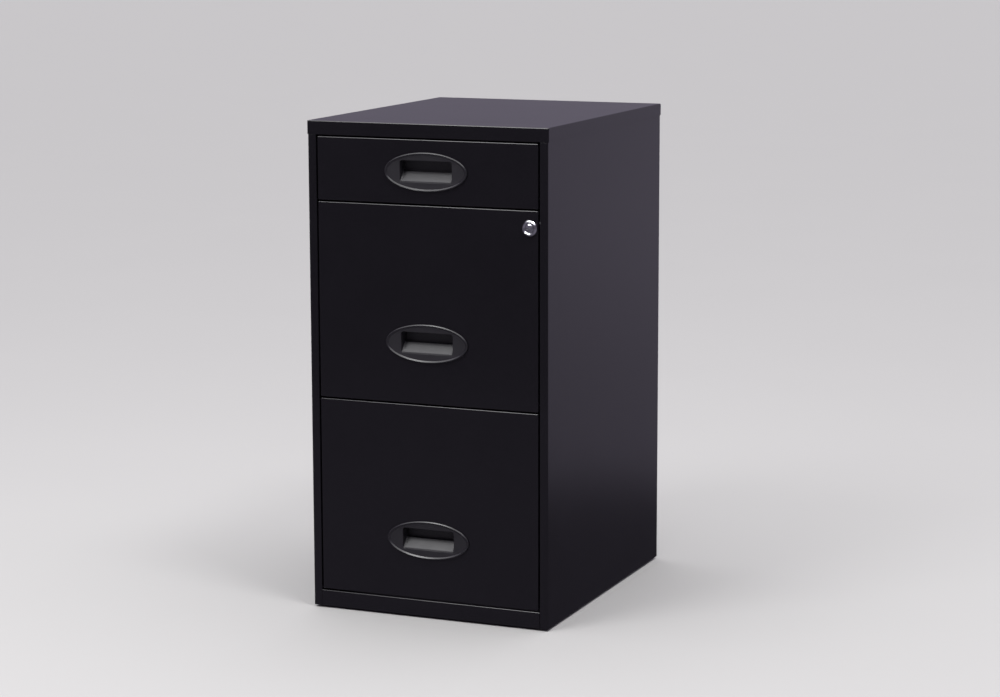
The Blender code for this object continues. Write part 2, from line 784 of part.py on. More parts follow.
def main():
    clear_scene()
    paint = material("black_enamel", (0.012, 0.012, 0.014), 0.35)
    zinc = material("zinc_plate", (0.60, 0.60, 0.58), 0.35, 1.0)
    nylon = material("white_nylon", (0.80, 0.80, 0.75), 0.45)
    plastic = material("black_plastic", (0.015, 0.015, 0.016), 0.40)
    chrome = material("chrome", (0.78, 0.78, 0.78), 0.12, 1.0)
    finishes = (paint, zinc, nylon, plastic)
    make_case(*finishes)
    make_drawer("top_drawer", TOP_Z, SHALLOW_FRONT, SHALLOW_WALL, SHALLOW_FRONT / 2, finishes)
    middle, front = make_drawer("middle_drawer", MIDDLE_Z, FILE_FRONT, FILE_WALL, FILE_PULL_Z, finishes)
    make_drawer("bottom_drawer", BOTTOM_Z, FILE_FRONT, FILE_WALL, FILE_PULL_Z, finishes)
    make_lock(middle, front, chrome, zinc)


main()
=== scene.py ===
"""Black three-drawer filing cabinet: the finished pieces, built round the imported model's frame.

Metres, +Z up, and the front faces -Y. Each piece stands where its part of the frame stands, and rides on
that part's body. Sizes that the frame holds are read from it, and the rest are settings below.
"""

import json
import math

import bmesh
import bpy
from bpy.props import FloatProperty, FloatVectorProperty, PointerProperty
from mathutils import Matrix, Vector


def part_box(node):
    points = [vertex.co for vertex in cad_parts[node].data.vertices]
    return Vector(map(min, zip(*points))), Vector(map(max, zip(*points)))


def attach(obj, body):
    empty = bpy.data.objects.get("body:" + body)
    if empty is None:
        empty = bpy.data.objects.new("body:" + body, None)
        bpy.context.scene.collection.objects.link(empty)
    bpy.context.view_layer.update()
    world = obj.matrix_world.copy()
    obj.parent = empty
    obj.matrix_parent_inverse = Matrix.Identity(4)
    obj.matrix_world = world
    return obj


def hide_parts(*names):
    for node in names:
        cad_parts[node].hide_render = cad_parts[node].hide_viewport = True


bl_info = {
    "name": "Filing Cabinet",
    "version": (1, 0, 0),
    "blender": (4, 5, 0),
    "location": "3D View > Sidebar > Cabinet",
    "description": "Makes the finished pieces of a three-drawer steel filing cabinet",
    "category": "Object",
}

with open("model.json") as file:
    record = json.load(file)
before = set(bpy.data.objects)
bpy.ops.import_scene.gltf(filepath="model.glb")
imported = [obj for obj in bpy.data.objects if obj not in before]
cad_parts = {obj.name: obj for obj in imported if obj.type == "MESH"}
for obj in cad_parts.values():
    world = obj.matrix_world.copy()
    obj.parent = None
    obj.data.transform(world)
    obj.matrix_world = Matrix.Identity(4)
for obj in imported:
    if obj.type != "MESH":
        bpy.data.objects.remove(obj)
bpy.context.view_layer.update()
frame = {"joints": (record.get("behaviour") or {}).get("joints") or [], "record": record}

SIDES = (("left", -1), ("right", 1))
DRAWERS = ("top", "middle", "bottom")
FILE_DRAWERS = ("middle", "bottom")
AXES = {"X": Vector((1, 0, 0)), "Y": Vector((0, 1, 0)), "Z": Vector((0, 0, 1))}
BODY_OF = {
    node: body for body, nodes in frame["record"]["behaviour"]["bodies"].items() for node in nodes
}
TRAVEL = next(j["range_m"][1] for j in frame["joints"] if j["name"] == "top_drawer_slide")

BEND_STEPS = 6
CORNER_STEPS = 8
ROUND_STEPS = 64
FINE_STEPS = 96
SOFT_ANGLE = math.radians(50)  # an edge sharper than this is a raw one
FAR = 1.0  # a cutter's reach past what it cuts


# Settings


def length(name, default, description):
    return FloatProperty(
        name=name, description=description, default=default, min=0.0, precision=5, unit="LENGTH"
    )


def colour(name, default, description):
    return FloatVectorProperty(
        name=name, description=description, default=default, min=0.0, max=1.0, size=3, subtype="COLOR"
    )


class CabinetSizes(bpy.types.PropertyGroup):
    """Sizes that the frame doesn't give by itself."""

    sheet: length("Sheet", 0.0008, "Thickness of the steel sheet")
    gap: length("Gap", 0.0003, "Room between pieces that touch")
    bend: length("Bend", 0.0016, "Outer radius of a bend in the case and the fronts")
    tight_bend: length("Tight bend", 0.0012, "Radius of a bend in the trays and the slides")
    raw_edge: length("Raw edge", 0.00014, "How far the paint rounds a cut edge")
    hem_round: length("Hem round", 0.0007, "Radius where a flange turns under")
    top_flange: length("Top flange", 0.017, "Depth of the top's side and rear flanges")
    rail_lip: length("Rail lip", 0.012, "Depth of the lips behind the top and base rails")
    lip_play: length("Lip play", 0.0005, "Room from the top's lip to each side")
    stile_lip: length("Stile lip", 0.0098, "Depth of the stile's edge, bent back")
    floor_flange: length("Floor flange", 0.024, "Width of the flange that the glides are pushed into")
    front_flange: length("Front flange", 0.014, "Depth of a drawer front's flanges")
    back_flange: length("Back flange", 0.012, "Depth of the flanges on the case's and drawers' backs")
    hem_width: length("Hem width", 0.004, "Width of the turned-over top edge of a tray's wall")
    hem_drop: length("Hem drop", 0.008, "How far that edge turns down")
    notch_depth: length("Notch depth", 0.036, "Length of the cut-away behind a file drawer's front")
    notch_drop: length("Notch drop", 0.030, "Height of that cut-away")
    rim_width: length("Rim width", 0.0015, "Width of the bevel on each side of a pull's rim")
    dish_drop: length("Dish drop", 0.0018, "How far a pull's face lies below its rim")
    pocket_half: length("Pocket half", 0.039, "Half width of a pull's pocket")
    pocket_below: length("Pocket below", 0.0145, "From a pull's middle down to its pocket's lower edge")
    pocket_above: length("Pocket above", 0.0155, "From a pull's middle up to its pocket's upper edge")
    pocket_roof: length("Pocket roof", 0.0179, "From a pull's middle up to the roof behind the upper edge")
    pocket_lip: length("Pocket lip", 0.0035, "How deep the upper edge is before the roof")
    pocket_ramp: length("Pocket ramp", 0.0115, "How deep the sloping floor reaches")
    pocket_rise: length("Pocket rise", 0.014, "How high the sloping floor reaches")
    pocket_depth: length("Pocket depth", 0.017, "Depth of a pull's pocket")
    pocket_wall: length("Pocket wall", 0.0013, "Thickness of a pull's moulding")
    pocket_corner: length("Pocket corner", 0.0032, "Radius of the pocket's corners")
    rail_reach: length("Rail reach", 0.165, "Half width over a drawer's rails")
    rail_web: length("Rail web", 0.007, "How far a drawer's rail reaches below its axle")
    runner_reach: length("Runner reach", 0.1662, "From the middle to a runner's inner edges")
    axle_radius: length("Axle radius", 0.0025, "Radius of a roller's axle")
    shoulder_radius: length("Shoulder radius", 0.0035, "Radius of the axle's shoulder")
    rivet_radius: length("Rivet radius", 0.0042, "Radius of the axle's riveted head")
    rivet_head: length("Rivet head", 0.0010, "Thickness of the axle's riveted head")
    stop_off: length("Stop off", 0.007, "From a roller's axle to the stop that it meets")
    stop_thick: length("Stop thick", 0.0012, "Thickness of a runner's stop")
    stop_height: length("Stop height", 0.003, "Height of a runner's stop")
    bezel_radius: length("Bezel radius", 0.011, "Outer radius of the lock's bezel")
    barrel_radius: length("Barrel radius", 0.008, "Radius of the lock's barrel")
    bore_radius: length("Bore radius", 0.0062, "Radius of the lock's bore")
    plug_radius: length("Plug radius", 0.0059, "Radius of the lock's plug")
    tail_half: length("Tail half", 0.0032, "Half width of the plug's square tail")
    keyway_half: length("Keyway half", 0.0008, "Half height of the keyway")
    keyway_reach: length("Keyway reach", 0.0038, "Half length of the keyway")
    cam_half: length("Cam half", 0.0055, "Half width of the cam's tongue")
    cam_hub: length("Cam hub", 0.0070, "Radius of the cam's hub")


class CabinetColours(bpy.types.PropertyGroup):
    """Colours, as linear light."""

    enamel: colour("Enamel", (0.0058, 0.0052, 0.0070), "Baked black enamel")
    plastic: colour("Plastic", (0.0165, 0.0155, 0.0190), "Black moulded plastic")
    nylon: colour("Nylon", (0.72, 0.70, 0.62), "White nylon")
    zinc: colour("Zinc", (0.56, 0.57, 0.58), "Zinc plate")
    chrome: colour("Chrome", (0.78, 0.79, 0.81), "Bright chrome plate")
    floor: colour("Floor", (0.40, 0.395, 0.39), "Studio floor")


# Shader nodes


class Signal:
    """A shader socket that takes part in arithmetic. Each step adds a Math node."""

    def __init__(self, finish, socket):
        self.finish = finish
        self.socket = socket

    def maths(self, operation, first, second):
        return self.finish.node("Math", {"operation": operation}, {0: first, 1: second})

    def __add__(self, other):
        return self.maths("ADD", self, other)

    def __radd__(self, other):
        return self.maths("ADD", other, self)

    def __sub__(self, other):
        return self.maths("SUBTRACT", self, other)

    def __rsub__(self, other):
        return self.maths("SUBTRACT", other, self)

    def __mul__(self, other):
        return self.maths("MULTIPLY", self, other)

    def __rmul__(self, other):
        return self.maths("MULTIPLY", other, self)


class Finish:
    """A node tree that is being built: a material's, or the world's."""

    def __init__(self, owner):
        self.owner = owner
        owner.use_nodes = True
        self.tree = owner.node_tree
        self.tree.nodes.clear()

    def node(self, kind, settings=None, sockets=None, output=0):
        """A new node, its settings first and then its sockets' values or links. Gives one of its outputs."""
        made = self.tree.nodes.new(f"ShaderNode{kind}")
        for name, value in (settings or {}).items():
            setattr(made, name, value)
        for name, value in (sockets or {}).items():
            if isinstance(value, Signal):
                self.tree.links.new(value.socket, made.inputs[name])
            else:
                made.inputs[name].default_value = value
        return Signal(self, made.outputs[output]) if made.outputs else None

    def place(self, stretch=(1, 1, 1)):
        """The surface's place on the piece, in metres."""
        spot = self.node("TexCoord", output="Object")
        return self.node("Mapping", sockets={"Vector": spot, "Scale": stretch})

    def noise(self, per_metre, detail=2.0, rough=0.5, stretch=(1, 1, 1)):
        sockets = {"Scale": per_metre, "Detail": detail, "Roughness": rough, "Vector": self.place(stretch)}
        return self.node("TexNoise", sockets=sockets)

    def ease(self, value, low, high):
        """0 below low, 1 above high, and a smooth rise between."""
        sockets = {"Value": value, "From Min": low, "From Max": high}
        return self.node("MapRange", {"interpolation_type": "SMOOTHSTEP"}, sockets)

    def tint(self, share, first, second):
        """A colour between two, or the second where share is 1."""
        first, second = (c if isinstance(c, Signal) else (*c, 1.0) for c in (first, second))
        settings = {"data_type": "RGBA", "clamp_factor": True}
        return self.node("Mix", settings, {0: share, 6: first, 7: second}, output=2)

    def rub(self):
        """How much the surface is rubbed, as stored on the piece."""
        return self.node("Attribute", {"attribute_name": "rub"}, output="Fac")

    def relief(self, height, depth):
        """A normal that follows height, where 1 stands depth metres proud."""
        return self.node("Bump", sockets={"Strength": 1.0, "Distance": depth, "Height": height})

    def surface(self, **sockets):
        """The shader that the tree ends in."""
        sockets = {name.replace("_", " "): value for name, value in sockets.items()}
        shader = self.node("BsdfPrincipled", sockets=sockets)
        self.node("OutputMaterial", sockets={"Surface": shader})
        return self.owner


def new_finish(name):
    return Finish(bpy.data.materials.new(name))


def times(colour_value, factor):
    return tuple(factor * part for part in colour_value)


def enamel_finish(paint, scuffs=0.0):
    """Baked semi-gloss enamel: fine orange peel, slow waves in the sheet, and bends rubbed thin."""
    finish = new_finish("scuffed_enamel" if scuffs else "baked_enamel")
    peel = finish.noise(430, 2.0)
    waves = finish.noise(7, 1.0)
    cloud = finish.noise(16, 5.0, 0.6)
    grit = finish.ease(finish.noise(950, 1.0), 0.69, 0.74)
    thin = finish.ease(finish.rub() * finish.noise(60, 6.0, 0.65), 0.30, 0.62)
    lines = finish.ease(finish.noise(750, 2.0, 0.5, (1, 0.04, 1)), 0.64, 0.70) * cloud * scuffs
    shade = finish.tint(cloud, times(paint, 0.86), times(paint, 1.22))
    shade = finish.tint(thin * 0.30, shade, times(paint, 4.2))
    shade = finish.tint(lines * 0.5, shade, times(paint, 5.0))
    gloss = 0.085 + 0.06 * cloud + 0.10 * lines
    height = 0.15 * peel + 7.0 * waves + 0.5 * grit
    return finish.surface(
        Base_Color=shade, Roughness=gloss, IOR=1.5, Normal=finish.relief(height, 0.000035)
    )


def plastic_finish(plastic):
    """Injection-moulded black plastic: a fine spark-eroded grain, polished where hands rub it."""
    finish = new_finish("moulded_plastic")
    grain = finish.noise(2600, 2.0)
    cloud = finish.noise(55, 5.0, 0.6)
    rub = finish.rub()
    shade = finish.tint(cloud, times(plastic, 0.85), times(plastic, 1.25))
    gloss = 0.36 + 0.12 * cloud + 0.05 * grain - 0.19 * rub
    height = (grain + 2.0 * cloud) * (1.0 - 0.8 * rub)
    return finish.surface(
        Base_Color=shade, Roughness=gloss, IOR=1.5, Normal=finish.relief(height, 0.000012)
    )


def nylon_finish(nylon):
    """Moulded nylon, greyed in patches by the runner."""
    finish = new_finish("moulded_nylon")
    cloud = finish.noise(180, 5.0, 0.6)
    grime = finish.ease(finish.noise(90, 4.0, 0.7), 0.50, 0.75)
    shade = finish.tint(cloud, times(nylon, 0.93), times(nylon, 1.04))
    shade = finish.tint(grime * 0.35, shade, times(nylon, 0.42))
    gloss = 0.36 + 0.16 * cloud
    return finish.surface(
        Base_Color=shade,
        Roughness=gloss,
        Subsurface_Weight=0.05,
        Subsurface_Scale=0.001,
        Normal=finish.relief(cloud, 0.00004),
    )


def zinc_finish(zinc):
    """Bright zinc plate over rolled steel: drawn lines along Y, cloudy passivation and dull spots."""
    finish = new_finish("bright_zinc")
    drawn = finish.noise(1700, 3.0, 0.6, (1, 0.03, 1))
    cloud = finish.noise(38, 5.0, 0.6)
    spots = finish.ease(finish.noise(240, 3.0), 0.60, 0.72)
    straw = (zinc[0] * 1.05, zinc[1] * 0.99, zinc[2] * 0.86)
    shade = finish.tint(cloud, times(zinc, 0.82), straw)
    shade = finish.tint(spots * 0.4, shade, times(zinc, 0.55))
    gloss = 0.24 + 0.16 * cloud + 0.12 * drawn + 0.12 * spots
    return finish.surface(
        Base_Color=shade, Metallic=1.0, Roughness=gloss, Normal=finish.relief(drawn + cloud, 0.000012)
    )


def chrome_finish(chrome):
    """Polished chrome plate with a little haze and hairline scratches."""
    finish = new_finish("bright_chrome")
    haze = finish.noise(420, 4.0, 0.6)
    hair = finish.ease(finish.noise(1500, 2.0, 0.5, (1, 1, 9)), 0.64, 0.70)
    shade = finish.tint(haze, times(chrome, 0.90), times(chrome, 1.06))
    gloss = 0.055 + 0.08 * haze + 0.12 * hair
    return finish.surface(
        Base_Color=shade, Metallic=1.0, Roughness=gloss, Normal=finish.relief(haze - hair, 0.000006)
    )


def floor_finish(pale):
    """Matt pale studio floor."""
    finish = new_finish("studio_floor")
    cloud = finish.noise(2.5, 4.0)
    shade = finish.tint(cloud, times(pale, 0.985), times(pale, 1.01))
    return finish.surface(Base_Color=shade, Roughness=0.75 + 0.1 * cloud)


def finish_for(context, name):
    """The named finish, made the first time that it is asked for."""
    colours = context.scene.cabinet_colours
    makers = {
        "baked_enamel": lambda: enamel_finish(colours.enamel),
        "scuffed_enamel": lambda: enamel_finish(colours.enamel, 1.0),
        "moulded_plastic": lambda: plastic_finish(colours.plastic),
        "moulded_nylon": lambda: nylon_finish(colours.nylon),
        "bright_zinc": lambda: zinc_finish(colours.zinc),
        "bright_chrome": lambda: chrome_finish(colours.chrome),
    }
    return bpy.data.materials.get(name) or makers[name]()


# Lines and shapes


def rounded(corners, radius, steps=BEND_STEPS, closed=False):
    """The line through the corners, with an arc for each. A corner's third number is its own radius."""
    flat = [Vector(corner[:2]) for corner in corners]
    radii = [corner[2] if len(corner) > 2 else radius for corner in corners]
    line = [] if closed else [flat[0]]
    for index in range(0 if closed else 1, len(flat) if closed else len(flat) - 1):
        corner = flat[index]
        if radii[index] == 0:
            line.append(corner)
            continue
        to_before = (flat[index - 1] - corner).normalized()
        to_after = (flat[(index + 1) % len(flat)] - corner).normalized()
        half = to_before.angle(to_after) / 2
        centre = corner + (to_before + to_after).normalized() * (radii[index] / math.sin(half))
        run = radii[index] / math.tan(half)
        start = corner + to_before * run - centre
        sweep = start.angle_signed(corner + to_after * run - centre)
        for step in range(steps + 1):
            line.append(centre + Matrix.Rotation(-sweep * step / steps, 2) @ start)
    return line if closed else line + [flat[-1]]


def beside(line, distance):
    """The line moved to its right, parallel to itself."""
    moved = []
    for index, point in enumerate(line):
        into = point - line[index - 1] if index else line[1] - point
        out = line[index + 1] - point if index < len(line) - 1 else into
        right_in = Vector((into.y, -into.x)).normalized()
        right_out = Vector((out.y, -out.x)).normalized()
        right = (right_in + right_out).normalized()
        moved.append(point + right * (distance / right.dot(right_in)))
    return moved


def on_side(corners, side):
    """A line drawn for the right-hand side, or its mirror image, with the sheet still on the same hand."""
    if side > 0:
        return corners
    return [(-corner[0], *corner[1:]) for corner in reversed(corners)]


def swept(line, thickness, plane, start, end):
    """Sheet on the right of a line in a plane, swept from start to end."""
    first, second = AXES[plane[0]], AXES[plane[1]]
    along = next(AXES[letter] for letter in "XYZ" if letter not in plane)
    shape = bmesh.new()
    rows = []
    for edge in (line, beside(line, thickness)):
        for where in (start, end):
            rows.append([shape.verts.new(first * p.x + second * p.y + along * where) for p in edge])
    near, far, inner_near, inner_far = rows
    for one, other in ((near, far), (far, inner_far), (inner_far, inner_near), (inner_near, near)):
        for index in range(len(line) - 1):
            shape.faces.new((one[index], one[index + 1], other[index + 1], other[index]))
    for index in (0, -1):
        shape.faces.new((near[index], far[index], inner_far[index], inner_near[index]))
    bmesh.ops.recalc_face_normals(shape, faces=shape.faces)
    return shape


def skin(rings, closed=False):
    """A surface through rings of points. A ring of one point closes it to a tip."""
    shape = bmesh.new()
    count = max(len(ring) for ring in rings)
    rows = []
    for ring in rings:
        made = [shape.verts.new(point) for point in ring]
        rows.append(made if len(made) == count else made * count)
    if closed:
        rows.append(rows[0])
    for one, other in zip(rows, rows[1:]):
        for index in range(count):
            following = (index + 1) % count
            corners = dict.fromkeys((one[index], one[following], other[following], other[index]))
            shape.faces.new(list(corners))
    bmesh.ops.recalc_face_normals(shape, faces=shape.faces)
    return shape


def turned(profile, centre, axis, steps=ROUND_STEPS, closed=False):
    """A line of (radius, height) points turned round an axis."""
    turn = Vector(axis).to_track_quat("Z", "Y")
    rings = []
    for radius, height in profile:
        count = 1 if radius == 0 else steps
        angles = [math.tau * step / count for step in range(count)]
        ring = [Vector((radius * math.cos(a), radius * math.sin(a), height)) for a in angles]
        rings.append([Vector(centre) + turn @ point for point in ring])
    return skin(rings, closed)


def prism(outline, plane, start, end):
    """A flat outline swept from start to end."""
    first, second = AXES[plane[0]], AXES[plane[1]]
    along = next(AXES[letter] for letter in "XYZ" if letter not in plane)
    shape = bmesh.new()
    base = shape.faces.new([shape.verts.new(first * p[0] + second * p[1] + along * start) for p in outline])
    grown = bmesh.ops.extrude_face_region(shape, geom=[base])["geom"]
    moved = [item for item in grown if isinstance(item, bmesh.types.BMVert)]
    bmesh.ops.translate(shape, vec=along * (end - start), verts=moved)
    bmesh.ops.recalc_face_normals(shape, faces=shape.faces)
    return shape


def block(low, high):
    """A box between two corners."""
    shape = bmesh.new()
    bmesh.ops.create_cube(shape, size=1.0)
    low, high = Vector(low), Vector(high)
    bmesh.ops.scale(shape, vec=high - low, verts=shape.verts)
    bmesh.ops.translate(shape, vec=(low + high) / 2, verts=shape.verts)
    return shape


def square_bar(centre, half, start, end):
    """A square bar along Y."""
    return block((centre.x - half, start, centre.z - half), (centre.x + half, end, centre.z + half))


def as_object(name, shape):
    """A new object that holds the shape."""
    mesh = bpy.data.meshes.new(name)
    shape.to_mesh(mesh)
    shape.free()
    obj = bpy.data.objects.new(name, mesh)
    bpy.context.scene.collection.objects.link(obj)
    return obj


def discard(obj):
    mesh = obj.data
    bpy.data.objects.remove(obj)
    bpy.data.meshes.remove(mesh)


def worked(shape, steps):
    """The shape after modifiers, each given as its kind and its settings."""
    blank = as_object("blank", shape)
    for kind, settings in steps:
        modifier = blank.modifiers.new(kind.lower(), kind)
        for name, value in settings.items():
            setattr(modifier, name, value)
    bpy.context.view_layer.update()
    mesh = bpy.data.meshes.new_from_object(blank.evaluated_get(bpy.context.evaluated_depsgraph_get()))
    result = bmesh.new()
    result.from_mesh(mesh)
    bpy.data.meshes.remove(mesh)
    discard(blank)
    return result


def combined(shape, tools, operation="DIFFERENCE"):
    """The shape with each tool cut out of it, or joined to it."""
    helpers = [as_object("tool", tool) for tool in tools]
    steps = [("BOOLEAN", {"operation": operation, "object": helper}) for helper in helpers]
    result = worked(shape, steps)
    for helper in helpers:
        discard(helper)
    return result


def gathered(shapes):
    """Several shapes in one."""
    whole = bmesh.new()
    for shape in shapes:
        mesh = bpy.data.meshes.new("part")
        shape.to_mesh(mesh)
        shape.free()
        whole.from_mesh(mesh)
        bpy.data.meshes.remove(mesh)
    return whole


def pan(low, high, open_side, sizes):
    """A shallow pan of sheet with bent edges, open on the side whose outward normal is given."""
    shape = block(low, high)
    shape.normal_update()
    gone = [face for face in shape.faces if face.normal.dot(Vector(open_side)) > 0.9]
    bmesh.ops.delete(shape, geom=gone, context="FACES")
    bends = {"width": sizes.bend, "segments": BEND_STEPS, "limit_method": "ANGLE"}
    sheet = {"thickness": sizes.sheet, "offset": -1.0, "use_even_offset": True}
    return worked(shape, [("BEVEL", bends), ("SOLIDIFY", sheet)])


def bevel(shape, edges, radius, steps):
    bmesh.ops.bevel(
        shape, geom=edges, offset=radius, segments=steps, profile=0.5, affect="EDGES", clamp_overlap=False
    )


def round_edges(shape, test, radius):
    """Rounds the edges whose two ends both pass a test."""
    edges = [edge for edge in shape.edges if all(test(vert.co) for vert in edge.verts)]
    bevel(shape, edges, radius, BEND_STEPS)


def soften(shape, width):
    """Rounds every raw edge a little."""
    bmesh.ops.remove_doubles(shape, verts=shape.verts, dist=1e-6)
    edges = [edge for edge in shape.edges if edge.is_manifold and edge.calc_face_angle() > SOFT_ANGLE]
    bevel(shape, edges, width, 2)


def mark_rub(mesh, measure):
    """Stores on each face how much it is rubbed, from 0 to 1."""
    rub = mesh.attributes.new("rub", "FLOAT", "FACE")
    for face, value in zip(mesh.polygons, rub.data):
        value.value = measure(face)


def bend_rub(face):
    """How far a face leans away from the nearest axis: 0 on a panel, 1 halfway round a bend."""
    return min(1.0, (1 - max(abs(part) for part in face.normal)) / (1 - math.sqrt(0.5)))


def fit(context, node, shape, finish, sheet_work=True):
    """Makes the shape the piece that stands for a node of the frame."""
    if sheet_work:
        soften(shape, context.scene.cabinet_sizes.raw_edge)
    piece = as_object(f"{node}_piece", shape)
    mesh = piece.data
    mesh.shade_smooth()
    mesh.set_sharp_from_angle(angle=SOFT_ANGLE)
    if sheet_work:
        mark_rub(mesh, bend_rub)
    piece.modifiers.new("even_normals", "WEIGHTED_NORMAL").keep_sharp = True
    mesh.materials.append(finish_for(context, finish))
    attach(piece, BODY_OF[node])
    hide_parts(node)
    return piece


# Case


def make_top(context):
    """The top, whose front flange is the rail over the shallow drawer."""
    sizes = context.scene.cabinet_sizes
    low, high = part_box("case_top")
    shape = pan(low, high, (0, 0, -1), sizes)
    under = high.z - sizes.top_flange
    trim = block((low.x - FAR, low.y + sizes.bend, low.z - FAR), (high.x + FAR, high.y + FAR, under))
    shape = combined(shape, [trim])
    half = high.x - 2 * sizes.sheet - sizes.gap - sizes.lip_play
    lip = block(
        (-half, low.y + sizes.sheet / 2, low.z), (half, low.y + sizes.rail_lip, low.z + sizes.sheet)
    )
    shape = combined(shape, [lip], "UNION")
    tiny = sizes.gap / 10
    round_edges(shape, lambda p: p.y < low.y + tiny and p.z < low.z + tiny, sizes.hem_round)
    fit(context, "case_top", shape, "baked_enamel")


def make_side(context, word, side):
    """A side, its stile with the edge bent back, and the flange that the glides are pushed into."""
    sizes = context.scene.cabinet_sizes
    low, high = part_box(f"case_side_{word}")
    outer = max(abs(low.x), abs(high.x))
    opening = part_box("case_base_rail")[1].x + sizes.gap
    line = [(outer, high.y), (outer, low.y), (opening, low.y), (opening, low.y + sizes.stile_lip)]
    path = rounded(on_side(line, side), sizes.bend)
    shape = swept(path, sizes.sheet, "XY", low.z, high.z)
    inner, edge = sorted((side * (outer - sizes.floor_flange), side * (outer - sizes.sheet / 2)))
    floor = block(
        (inner, low.y + sizes.front_flange, low.z), (edge, high.y - sizes.sheet / 2, low.z + sizes.sheet)
    )
    shape = combined(shape, [floor], "UNION")
    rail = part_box("case_top")[0].z - sizes.gap
    flange = block((-FAR, low.y - FAR, rail), (FAR, low.y + sizes.bend + sizes.gap, FAR))
    within = outer - sizes.sheet - sizes.gap
    lip = block((-within, low.y - FAR, rail), (within, low.y + sizes.rail_lip + sizes.gap, FAR))
    shape = combined(shape, [flange, lip])
    tiny = sizes.gap / 10
    foot = low.y + sizes.bend + tiny
    round_edges(
        shape,
        lambda p: side * p.x > outer - tiny and p.z < low.z + tiny and p.y > foot - 2 * tiny,
        sizes.hem_round,
    )
    fit(context, f"case_side_{word}", shape, "baked_enamel")


def make_back(context, node, finish):
    """An upright panel with both side edges bent forwards: the case's back, or a drawer's."""
    sizes = context.scene.cabinet_sizes
    low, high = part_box(node)
    edge = high.y - sizes.back_flange
    line = [(low.x, edge), (low.x, high.y), (high.x, high.y), (high.x, edge)]
    shape = swept(rounded(line, sizes.bend), sizes.sheet, "XY", low.z, high.z)
    fit(context, node, shape, finish)


def make_base_rail(context):
    """The rail under the bottom drawer, with both edges bent back."""
    sizes = context.scene.cabinet_sizes
    low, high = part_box("case_base_rail")
    line = [(high.y, low.z), (low.y, low.z), (low.y, high.z), (high.y, high.z)]
    shape = swept(rounded(line, sizes.bend), sizes.sheet, "YZ", low.x, high.x)
    fit(context, "case_base_rail", shape, "baked_enamel")


def make_glide(context, node):
    """A round plastic foot with a domed sole, on a barbed stem."""
    sizes = context.scene.cabinet_sizes
    low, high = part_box(node)
    radius = (high.x - low.x) / 2
    centre = ((low.x + high.x) / 2, (low.y + high.y) / 2, 0)
    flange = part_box("case_side_left")[0].z
    under = flange - sizes.gap
    over = flange + sizes.sheet + sizes.gap
    stem = radius / 4.5
    barb = stem * 1.5
    corners = [
        (0, high.z, 0),
        (stem, high.z, stem / 4),
        (barb, over, stem / 8),
        (stem, over, stem / 8),
        (stem, under, stem / 8),
        (radius, under, under / 5),
        (radius, under / 3, under / 5),
        (radius * 0.86, 0, under / 2),
        (0, 0, 0),
    ]
    shape = turned(rounded(corners, 0), centre, (0, 0, 1))
    fit(context, node, shape, "moulded_plastic", sheet_work=False)


class CABINET_OT_case(bpy.types.Operator):
    """Make the case: top, sides, back, base rail and glides"""

    bl_idname = "cabinet.case"
    bl_label = "Case"

    def execute(self, context):
        make_top(context)
        for word, side in SIDES:
            make_side(context, word, side)
            for row in ("front", "rear"):
                make_glide(context, f"floor_glide_{row}_{word}")
        make_back(context, "case_back", "baked_enamel")
        make_base_rail(context)
        return {"FINISHED"}


# Drawers


def lock_centre():
    """The middle of the lock on the face of the middle drawer's front."""
    low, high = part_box("lock_housing")
    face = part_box("middle_drawer_front")[0].y
    return Vector(((low.x + high.x) / 2, face, (low.z + high.z) / 2))


def make_front(context, drawer):
    """A drawer's front: a pan with a window for the pull, and in the middle drawer a hole for the lock."""
    sizes = context.scene.cabinet_sizes
    node = f"{drawer}_drawer_front"
    low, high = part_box(node)
    pull = sum((corner.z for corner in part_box(f"{drawer}_drawer_pull"))) / 2
    shape = pan(low, high, (0, 1, 0), sizes)
    room = sizes.pocket_wall + 2 * sizes.gap
    corners = [
        (-sizes.pocket_half - room, pull - sizes.pocket_below - room),
        (sizes.pocket_half + room, pull - sizes.pocket_below - room),
        (sizes.pocket_half + room, pull + sizes.pocket_roof + room),
        (-sizes.pocket_half - room, pull + sizes.pocket_roof + room),
    ]
    window = rounded(corners, sizes.pocket_corner, closed=True)
    tools = [prism(window, "XZ", low.y - sizes.bend, low.y + sizes.bend)]
    if drawer == "middle":
        radius = sizes.barrel_radius + sizes.gap
        hole = [(0, sizes.bend), (radius, sizes.bend), (radius, -sizes.bend), (0, -sizes.bend)]
        tools.append(turned(hole, lock_centre(), (0, 1, 0), BEND_STEPS * 8))
    fit(context, node, combined(shape, tools), "baked_enamel")


class CABINET_OT_fronts(bpy.types.Operator):
    """Make the three drawer fronts"""

    bl_idname = "cabinet.fronts"
    bl_label = "Drawer fronts"

    def execute(self, context):
        for drawer in DRAWERS:
            make_front(context, drawer)
        return {"FINISHED"}


def pocket_ring(sizes, depth, grow=0.0):
    """The pocket's outline at a depth behind the front's face, grown outwards by a wall."""
    floor = -sizes.pocket_below
    if depth > 0:
        floor += sizes.pocket_rise * min(1.0, depth / sizes.pocket_ramp)
    roof = sizes.pocket_roof if depth > sizes.pocket_lip or grow > 0 else sizes.pocket_above
    half = sizes.pocket_half + grow
    floor, roof = floor - grow, roof + grow
    corners = [(half, floor), (half, roof), (-half, roof), (-half, floor)]
    return corners


def dotted(corners, radius, across=26, up=8):
    """A rounded rectangle's outline, with extra points along its straight runs."""
    line = rounded(corners, radius, CORNER_STEPS, closed=True)
    per_corner = CORNER_STEPS + 1
    points = []
    for index in range(4):
        arc = line[index * per_corner : (index + 1) * per_corner]
        following = line[((index + 1) * per_corner) % len(line)]
        count = up if index % 2 == 0 else across
        run = [arc[-1].lerp(following, step / count) for step in range(1, count)]
        points += arc + run
    return points


